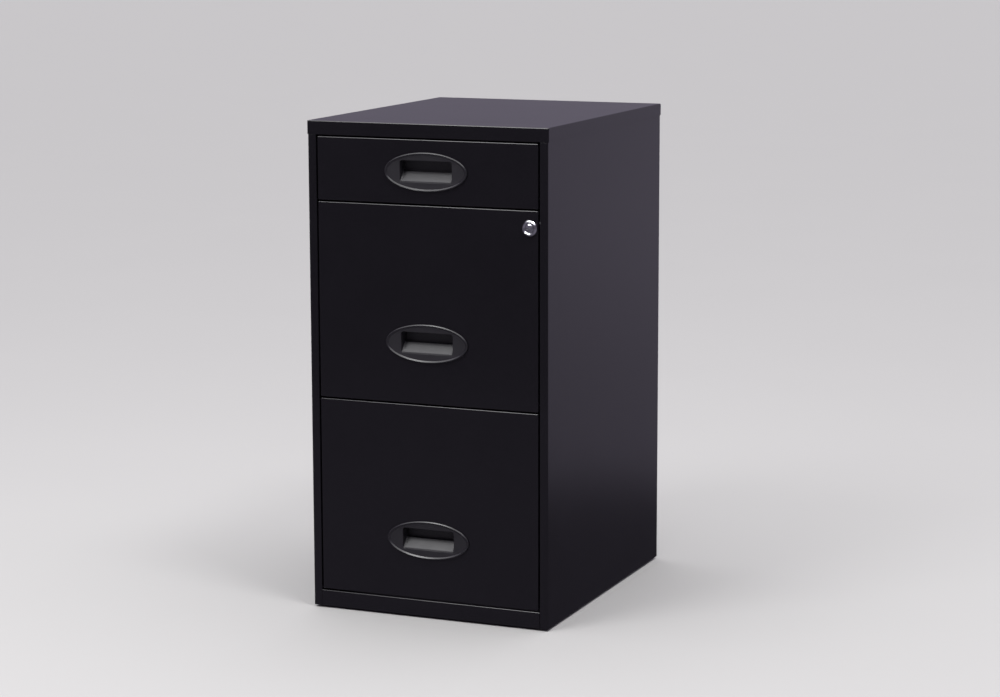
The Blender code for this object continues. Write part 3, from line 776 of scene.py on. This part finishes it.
def pull_rings(sizes, half_width, half_height, proud, back):
    """Rings of a pull, as points and heights above the front's face, from its pocket's end to its shell's."""
    mouth = dotted(pocket_ring(sizes, 0), sizes.pocket_corner)
    angles = [math.atan2(p.y / half_height, p.x / half_width) for p in mouth]

    def oval(inset):
        """The outline's oval, moved inwards by the same distance all round."""
        ring = []
        for angle in angles:
            point = Vector((half_width * math.cos(angle), half_height * math.sin(angle)))
            inward = Vector((math.cos(angle) / half_width, math.sin(angle) / half_height)).normalized()
            ring.append(point - inward * inset)
        return ring

    def between(share):
        """A ring between the rim's inner edge and the pocket's mouth."""
        inner = oval(sizes.rim_width * 2.7)
        return [p.lerp(q, share) for p, q in zip(inner, mouth)]

    def pocket(depth, grow=0.0):
        return dotted(pocket_ring(sizes, depth, grow), sizes.pocket_corner + grow)

    dish = proud - sizes.dish_drop
    lip = 0.0005  # the rounding of the pocket's mouth
    crown = 0.0003  # how far the face rises towards the rim
    ease = 0.0003  # the rounding of the rim's corners
    reach = 0.012  # about how far the mouth lies from the oval
    rings = [([Vector((0, sizes.pocket_above / 2))], -sizes.pocket_depth)]
    rings.append((pocket(sizes.pocket_depth), -sizes.pocket_depth))
    for share in (1.04, 0.97, 0.75, 0.5):
        rings.append((pocket(sizes.pocket_ramp * share), -sizes.pocket_ramp * share))
    rings.append((pocket(sizes.pocket_lip + lip / 5), -sizes.pocket_lip - lip / 5))
    rings.append((pocket(sizes.pocket_lip), -sizes.pocket_lip))
    rings.append((mouth, -lip / 5))
    for step in range(BEND_STEPS + 1):
        angle = math.pi / 2 * step / BEND_STEPS
        spread = [p.lerp(q, 1 - lip * (1 - math.cos(angle)) / reach) for p, q in zip(oval(0), mouth)]
        rings.append((spread, dish - lip * (1 - math.sin(angle))))
    for share in (0.75, 0.5, 0.25, 0.0):
        rings.append((between(share), dish + crown * (1 - share) ** 2))
    slope = sizes.rim_width
    crest = [
        (2.55 * slope, dish + crown, 0),
        (2.10 * slope, dish + crown, lip),
        (0.92 * slope, proud, ease),
        (0.80 * slope, proud, ease),
        (0, proud - 0.64 * slope, ease),
        (0, back, 0.0002),
        (0.5 * slope, back, 0),
    ]
    for inset, height in rounded(crest, 0, 4):
        rings.append((oval(inset), height))
    wall = sizes.pocket_wall
    for depth in (-back, sizes.pocket_lip, 0.5 * sizes.pocket_ramp, sizes.pocket_ramp):
        rings.append((pocket(max(depth, wall), wall), -depth if depth > 0 else back))
    rings.append((pocket(sizes.pocket_depth, wall), -sizes.pocket_depth - wall * 0.7))
    inner = [p.lerp(Vector((0, sizes.pocket_above / 2)), 0.03) for p in pocket(sizes.pocket_depth, wall)]
    rings.append((inner, -sizes.pocket_depth - wall))
    rings.append(([Vector((0, sizes.pocket_above / 2))], -sizes.pocket_depth - wall))
    return rings


def make_pull(context, drawer):
    """An oval moulding: a crowned rim, a dished face and a pocket whose floor slopes up behind its lip."""
    sizes = context.scene.cabinet_sizes
    node = f"{drawer}_drawer_pull"
    low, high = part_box(node)
    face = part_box(f"{drawer}_drawer_front")[0].y
    middle = Vector(((low.x + high.x) / 2, face, (low.z + high.z) / 2))
    rings = pull_rings(sizes, (high.x - low.x) / 2, (high.z - low.z) / 2, face - low.y, sizes.gap)
    placed = [[middle + Vector((p.x, -height, p.y)) for p in ring] for ring, height in rings]
    piece = fit(context, node, skin(placed), "moulded_plastic", sheet_work=False)
    rim = low.y + sizes.dish_drop - sizes.gap
    mark_rub(piece.data, lambda polygon: float(polygon.center.y < rim))


class CABINET_OT_pulls(bpy.types.Operator):
    """Make the three recessed pulls"""

    bl_idname = "cabinet.pulls"
    bl_label = "Pulls"

    def execute(self, context):
        for drawer in DRAWERS:
            make_pull(context, drawer)
        return {"FINISHED"}


def make_tray(context, drawer):
    """Floor and walls in one sheet, with the walls' top edges turned over to carry hanging folders."""
    sizes = context.scene.cabinet_sizes
    node = f"{drawer}_drawer_tray"
    low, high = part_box(node)
    wall = high.x - sizes.hem_width
    right = [(wall, low.z + sizes.sheet), (wall, high.z), (high.x, high.z), (high.x, high.z - sizes.hem_drop)]
    line = [(-across, up) for across, up in reversed(right)] + right
    shape = swept(rounded(line, sizes.tight_bend), sizes.sheet, "XZ", low.y, high.y)
    if drawer in FILE_DRAWERS:
        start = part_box(f"{drawer}_drawer_front")[0].y
        notch = block(
            (-FAR, low.y - FAR, high.z - sizes.notch_drop), (FAR, start + sizes.notch_depth, high.z + FAR)
        )
        shape = combined(shape, [notch])
    fit(context, node, shape, "scuffed_enamel")


class CABINET_OT_trays(bpy.types.Operator):
    """Make the drawers' trays and backs"""

    bl_idname = "cabinet.trays"
    bl_label = "Trays"

    def execute(self, context):
        for drawer in DRAWERS:
            make_tray(context, drawer)
            make_back(context, f"{drawer}_drawer_back", "scuffed_enamel")
        return {"FINISHED"}


# Slides


def make_axle(sizes, root, shoulder, tip, place):
    """A shouldered stub axle with a domed rivet head. Distances are along X from the cabinet's middle."""
    reach = abs(tip - root)
    step = abs(shoulder - root)
    head = sizes.rivet_head
    corners = [
        (0, reach, 0),
        (sizes.rivet_radius, reach, head * 0.8),
        (sizes.rivet_radius, reach - head, 0),
        (sizes.axle_radius, reach - head, 0),
        (sizes.axle_radius, step, 0),
        (sizes.shoulder_radius, step, head / 5),
        (sizes.shoulder_radius, 0, 0),
        (0, 0, 0),
    ]
    direction = (1 if tip > root else -1, 0, 0)
    return turned(rounded(corners, 0), (root, *place), direction, ROUND_STEPS // 2)


def roller_place(node):
    """A roller's middle and its width."""
    low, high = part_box(node)
    return (low + high) / 2, high.x - low.x


def make_roller(context, node):
    """A nylon roller with eased edges, a recessed face on each side and a boss round its bore."""
    sizes = context.scene.cabinet_sizes
    low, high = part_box(node)
    middle, width = roller_place(node)
    radius = (high.z - low.z) / 2
    half = width / 2
    bore = sizes.axle_radius + sizes.gap
    boss = bore + 0.16 * radius
    tread = 0.78 * radius
    recess = half * 0.86
    ease = 0.09 * radius
    face = [
        (bore, half, ease / 3),
        (boss, half, ease / 3),
        (boss, recess, ease / 3),
        (tread, recess, ease / 3),
        (tread, half, ease / 3),
        (radius, half, ease),
    ]
    corners = face + [(across, -up, ease_by) for across, up, ease_by in reversed(face)]
    shape = turned(rounded(corners, 0, 4, closed=True), middle, (1, 0, 0), ROUND_STEPS, closed=True)
    fit(context, node, shape, "moulded_nylon", sheet_work=False)


def make_runner(context, drawer, word, side):
    """The channel on the case's side, with its roller's axle and the stops that end the drawer's travel."""
    sizes = context.scene.cabinet_sizes
    node = f"{drawer}_runner_{word}"
    low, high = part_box(node)
    out = max(abs(low.x), abs(high.x))
    reach = sizes.runner_reach
    line = [(reach, high.z), (out, high.z), (out, low.z), (reach, low.z)]
    path = rounded(on_side(line, side), sizes.tight_bend)
    parts = [swept(path, sizes.sheet, "XZ", low.y, high.y)]
    middle, width = roller_place(f"{drawer}_runner_roller_{word}")
    across = abs(middle.x)
    shoulder = across + width / 2 + sizes.gap
    tip = across - width / 2 - sizes.gap - sizes.rivet_head
    place = (middle.y, middle.z)
    parts.append(make_axle(sizes, side * (out - sizes.sheet / 2), side * shoulder, side * tip, place))
    rolling, width = roller_place(f"{drawer}_drawer_roller_{word}")
    near, far = sorted(side * (abs(rolling.x) + offset) for offset in (-width / 2, width / 2))
    rear = rolling.y + sizes.stop_off
    front = rolling.y - TRAVEL - sizes.stop_off - sizes.stop_thick
    for start in (rear, front):
        tab = block(
            (near, start, low.z + sizes.sheet / 2),
            (far, start + sizes.stop_thick, low.z + sizes.sheet + sizes.stop_height),
        )
        parts.append(tab)
    fit(context, node, gathered(parts), "bright_zinc")


def make_rail(context, drawer, word, side):
    """The angle on the tray's wall that rides on the case's front roller, with its own roller's axle."""
    sizes = context.scene.cabinet_sizes
    node = f"{drawer}_drawer_rail_{word}"
    low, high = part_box(node)
    middle, width = roller_place(f"{drawer}_drawer_roller_{word}")
    web = min(abs(low.x), abs(high.x))
    line = [(web, middle.z - sizes.rail_web), (web, high.z), (sizes.rail_reach, high.z)]
    path = rounded(on_side(line, side), sizes.tight_bend)
    parts = [swept(path, sizes.sheet, "XZ", low.y, high.y)]
    shoulder = abs(middle.x) - width / 2 - sizes.gap
    tip = max(abs(low.x), abs(high.x))
    place = (middle.y, middle.z)
    parts.append(make_axle(sizes, side * (web + sizes.sheet / 2), side * shoulder, side * tip, place))
    fit(context, node, gathered(parts), "bright_zinc")


class CABINET_OT_slides(bpy.types.Operator):
    """Make the runners, the rails and their rollers"""

    bl_idname = "cabinet.slides"
    bl_label = "Slides"

    def execute(self, context):
        for drawer in DRAWERS:
            for word, side in SIDES:
                make_runner(context, drawer, word, side)
                make_rail(context, drawer, word, side)
                make_roller(context, f"{drawer}_runner_roller_{word}")
                make_roller(context, f"{drawer}_drawer_roller_{word}")
        return {"FINISHED"}


# Lock


def make_housing(context):
    """The bezel and its barrel, bored for the plug."""
    sizes = context.scene.cabinet_sizes
    low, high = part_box("lock_housing")
    centre = lock_centre()
    proud = centre.y - low.y
    end = centre.y - high.y
    bore, bezel, barrel = sizes.bore_radius, sizes.bezel_radius, sizes.barrel_radius
    corners = [
        (bore, 0.5 * proud, 0.0002),
        (bore + 0.42 * (bezel - bore), proud, 0.0006),
        (bore + 0.62 * (bezel - bore), proud, 0.0006),
        (bezel, 0.5 * proud, 0.0008),
        (bezel, sizes.gap, 0.0001),
        (barrel, sizes.gap, 0),
        (barrel, end, 0.0003),
        (bore, end, 0.0001),
    ]
    shape = turned(rounded(corners, 0, 4, closed=True), centre, (0, -1, 0), FINE_STEPS, closed=True)
    fit(context, "lock_housing", shape, "bright_chrome", sheet_work=False)


def make_nut(context):
    """A hex nut with chamfered corners."""
    sizes = context.scene.cabinet_sizes
    low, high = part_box("lock_nut")
    middle = (low + high) / 2
    corner = (high.z - low.z) / 2
    thick = high.y - low.y
    outline = []
    for step in range(6):
        angle = math.pi / 2 + math.tau * step / 6
        outline.append((middle.x + corner * math.cos(angle), middle.z + corner * math.sin(angle)))
    shape = prism(outline, "XZ", low.y, high.y)
    room = sizes.barrel_radius + sizes.gap
    bore = [(0, thick), (room, thick), (room, -thick), (0, -thick)]
    shape = combined(shape, [turned(bore, middle, (0, 1, 0))])
    flat = corner * math.cos(math.pi / 6)
    dome = [
        (0, thick / 2),
        (flat * 0.97, thick / 2),
        (corner * 1.02, 0.22 * thick),
        (corner * 1.02, -0.22 * thick),
        (flat * 0.97, -thick / 2),
        (0, -thick / 2),
    ]
    shape = combined(shape, [turned(dome, middle, (0, 1, 0))], "INTERSECT")
    fit(context, "lock_nut", shape, "bright_zinc")


def make_plug(context):
    """The plug with its keyway, and a square tail that carries the cam."""
    sizes = context.scene.cabinet_sizes
    low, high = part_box("lock_plug")
    centre = lock_centre()
    proud = centre.y - low.y
    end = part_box("lock_cam")[0].y - sizes.gap
    radius = sizes.plug_radius
    corners = [
        (0, proud - 0.0008, 0),
        (0.80 * radius, proud, 0.0002),
        (radius, proud - 0.0007, 0.0002),
        (radius, centre.y - end, 0.0001),
        (0, centre.y - end, 0),
    ]
    shape = turned(rounded(corners, 0, 4), centre, (0, -1, 0), FINE_STEPS)
    tail = square_bar(centre, sizes.tail_half, end - sizes.bend, high.y)
    shape = combined(shape, [tail], "UNION")
    reach, slot = sizes.keyway_reach, sizes.keyway_half
    ward = slot * 0.3
    outline = [
        (-reach, -slot),
        (-0.2 * reach, -slot),
        (-0.2 * reach, -slot + ward),
        (0.15 * reach, -slot + ward),
        (0.15 * reach, -slot),
        (reach, -slot),
        (reach, slot),
        (-reach, slot),
    ]
    keyway = [(centre.x + across, centre.z + up) for across, up in outline]
    tools = [prism(keyway, "XZ", low.y - FAR, centre.y + 2 * sizes.keyway_reach)]
    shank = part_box("lock_cam_screw")[0].y - sizes.gap
    room = (high.x - low.x) / 8
    bore = [(0, FAR), (room, FAR), (room, -sizes.bend), (0, -sizes.bend)]
    tools.append(turned(bore, (centre.x, shank, centre.z), (0, 1, 0), ROUND_STEPS // 2))
    fit(context, "lock_plug", combined(shape, tools), "bright_chrome")


def make_cam(context):
    """The tongue, hanging down at rest, with a square hole for the plug's tail."""
    sizes = context.scene.cabinet_sizes
    low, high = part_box("lock_cam")
    centre = lock_centre()
    drop = centre.z - low.z - sizes.cam_half
    outline = []
    for radius, start, below in ((sizes.cam_hub, 0, 0), (sizes.cam_half, math.pi, drop)):
        for step in range(ROUND_STEPS // 2 + 1):
            angle = start + math.tau * step / ROUND_STEPS
            across = centre.x + radius * math.cos(angle)
            outline.append((across, centre.z + radius * math.sin(angle) - below))
    shape = prism(outline, "XZ", low.y, high.y)
    square = square_bar(centre, sizes.tail_half + sizes.gap, low.y - FAR, high.y + FAR)
    fit(context, "lock_cam", combined(shape, [square]), "bright_zinc")


def make_cam_screw(context):
    """A pan-head screw with a cross slot."""
    sizes = context.scene.cabinet_sizes
    low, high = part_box("lock_cam_screw")
    centre = lock_centre()
    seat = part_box("lock_cam")[1].y + sizes.gap
    head = high.y - seat
    radius = (high.x - low.x) / 2
    shank = radius / 3.2
    corners = [
        (0, high.y - centre.y, 0),
        (radius, high.y - centre.y, head * 0.75),
        (radius, seat - centre.y, head * 0.08),
        (shank, seat - centre.y, 0),
        (shank, low.y - centre.y, shank / 4),
        (0, low.y - centre.y, 0),
    ]
    shape = turned(rounded(corners, 0), centre, (0, 1, 0))
    width, reach = radius * 0.13, radius * 0.62
    tools = []
    for across, up in ((reach, width), (width, reach)):
        tools.append(
            block(
                (centre.x - across, high.y - head * 0.5, centre.z - up),
                (centre.x + across, high.y + head, centre.z + up),
            )
        )
    fit(context, "lock_cam_screw", combined(shape, tools), "bright_zinc")


class CABINET_OT_lock(bpy.types.Operator):
    """Make the lock: housing, nut, plug, cam and its screw"""

    bl_idname = "cabinet.lock"
    bl_label = "Lock"

    def execute(self, context):
        make_housing(context)
        make_nut(context)
        make_plug(context)
        make_cam(context)
        make_cam_screw(context)
        return {"FINISHED"}


# Stage


class CabinetStage(bpy.types.PropertyGroup):
    """Camera and light."""

    camera_place: FloatVectorProperty(
        name="Camera place",
        description="Where the camera stands",
        default=(1.51047, -3.56218, 1.00962),
        subtype="TRANSLATION",
        unit="LENGTH",
    )
    camera_turn: FloatVectorProperty(
        name="Camera turn",
        description="The camera's rotation",
        default=(math.radians(80.336), math.radians(0.153), math.radians(22.746)),
        subtype="EULER",
        unit="ROTATION",
    )
    lens: FloatProperty(name="Lens", description="Focal length in millimetres", default=96.63)
    floor_size: length("Floor size", 60.0, "Width of the studio floor")
    overhead: FloatProperty(name="Overhead", description="Brightness of the light from above", default=2.2)
    behind: FloatProperty(name="Behind", description="Brightness of the wall behind", default=0.28)
    skirting: FloatProperty(name="Skirting", description="Brightness low down behind", default=0.06)
    before: FloatProperty(name="Before", description="Brightness of the light from the front", default=0.10)
    backdrop: FloatProperty(name="Backdrop", description="Brightness of the backdrop", default=0.84)
    tint: colour("Tint", (0.86, 0.78, 1.0), "Colour of the walls' light")


LAMPS = (  # name, place, width, height, watts
    ("key_light", (-0.85, -1.75, 2.5), 0.9, 1.3, 32.0),
    ("rim_light", (1.1, -0.8, 2.9), 0.6, 0.6, 24.0),
)
LAMP_TARGET = Vector((0, -0.2, 0.4))


def soft_light(name, place, width, height, watts):
    """A soft box that doesn't show in the picture."""
    lamp = bpy.data.lights.new(name, "AREA")
    lamp.shape = "RECTANGLE"
    lamp.size = width
    lamp.size_y = height
    lamp.energy = watts
    obj = bpy.data.objects.new(name, lamp)
    obj.location = place
    obj.rotation_euler = (LAMP_TARGET - obj.location).to_track_quat("-Z", "Y").to_euler()
    obj.visible_camera = False
    bpy.context.scene.collection.objects.link(obj)


def make_world(context):
    """A dim room with a light ceiling and far side, seen by the surfaces. The camera sees the backdrop."""
    stage = context.scene.cabinet_stage
    finish = Finish(bpy.data.worlds.new("studio"))
    ray = finish.node("TexCoord", output="Generated")
    parts = finish.node("SeparateXYZ", sockets={"Vector": ray})
    node = parts.socket.node
    across, along, up = (Signal(finish, node.outputs[letter]) for letter in "XYZ")
    above = finish.ease(up, 0.45, 0.85)
    level = finish.ease(up, -0.227, -0.205) * (0.66 + 0.34 * finish.ease(up, -0.2, -0.11))
    rear = finish.ease(along, -0.25, 0.25)
    wall = stage.skirting + stage.behind * level * (0.54 + 0.46 * finish.ease(across, -0.3, 0.3))
    front = stage.before * (1.75 - 0.75 * finish.ease(up, -0.2, -0.17))
    light = stage.overhead * above + rear * wall + (1.0 - rear) * front
    shown = finish.node("LightPath", output="Is Camera Ray")
    shade = finish.tint(above, stage.tint, (1.0, 1.0, 1.0))
    room = finish.node("Background", sockets={"Color": shade, "Strength": light})
    backdrop = finish.node("Background", sockets={"Strength": stage.backdrop})
    whole = finish.node("MixShader", sockets={0: shown, 1: room, 2: backdrop})
    finish.node("OutputWorld", sockets={"Surface": whole})
    context.scene.world = finish.owner


def make_floor(context):
    size = context.scene.cabinet_stage.floor_size
    shape = bmesh.new()
    bmesh.ops.create_grid(shape, x_segments=12, y_segments=12, size=size / 2)
    floor = as_object("studio_floor", shape)
    floor.data.materials.append(floor_finish(context.scene.cabinet_colours.floor))
    floor.visible_glossy = False


def make_camera(context):
    stage = context.scene.cabinet_stage
    lens = bpy.data.cameras.new("camera")
    lens.lens = stage.lens
    lens.sensor_width = 36.0
    lens.clip_end = 100.0
    camera = bpy.data.objects.new("camera", lens)
    camera.location = stage.camera_place
    camera.rotation_euler = stage.camera_turn
    context.scene.collection.objects.link(camera)
    context.scene.camera = camera


class CABINET_OT_stage(bpy.types.Operator):
    """Make the floor, the light and the camera"""

    bl_idname = "cabinet.stage"
    bl_label = "Stage"

    def execute(self, context):
        context.scene.view_settings.view_transform = "Standard"
        make_world(context)
        make_floor(context)
        for lamp in LAMPS:
            soft_light(*lamp)
        make_camera(context)
        return {"FINISHED"}


# Add-on


class CABINET_PT_panel(bpy.types.Panel):
    """Lists the steps that make the cabinet"""

    bl_idname = "CABINET_PT_panel"
    bl_label = "Filing Cabinet"
    bl_space_type = "VIEW_3D"
    bl_region_type = "UI"
    bl_category = "Cabinet"

    def draw(self, context):
        layout, scene = self.layout, context.scene
        for operator in OPERATORS:
            layout.operator(operator.bl_idname)
        for group in (scene.cabinet_sizes, scene.cabinet_colours, scene.cabinet_stage):
            for name in group.bl_rna.properties.keys():
                if name not in ("rna_type", "name"):
                    layout.prop(group, name)


OPERATORS = (
    CABINET_OT_case,
    CABINET_OT_fronts,
    CABINET_OT_pulls,
    CABINET_OT_trays,
    CABINET_OT_slides,
    CABINET_OT_lock,
    CABINET_OT_stage,
)
CLASSES = (CabinetSizes, CabinetColours, CabinetStage, *OPERATORS, CABINET_PT_panel)


def register():
    for item in CLASSES:
        bpy.utils.register_class(item)
    bpy.types.Scene.cabinet_sizes = PointerProperty(type=CabinetSizes)
    bpy.types.Scene.cabinet_colours = PointerProperty(type=CabinetColours)
    bpy.types.Scene.cabinet_stage = PointerProperty(type=CabinetStage)


def unregister():
    del bpy.types.Scene.cabinet_stage
    del bpy.types.Scene.cabinet_colours
    del bpy.types.Scene.cabinet_sizes
    for item in reversed(CLASSES):
        bpy.utils.unregister_class(item)


def main():
    register()
    bpy.ops.cabinet.case()
    bpy.ops.cabinet.fronts()
    bpy.ops.cabinet.pulls()
    bpy.ops.cabinet.trays()
    bpy.ops.cabinet.slides()
    bpy.ops.cabinet.lock()
    bpy.ops.cabinet.stage()


if __name__ == "__main__":
    main()
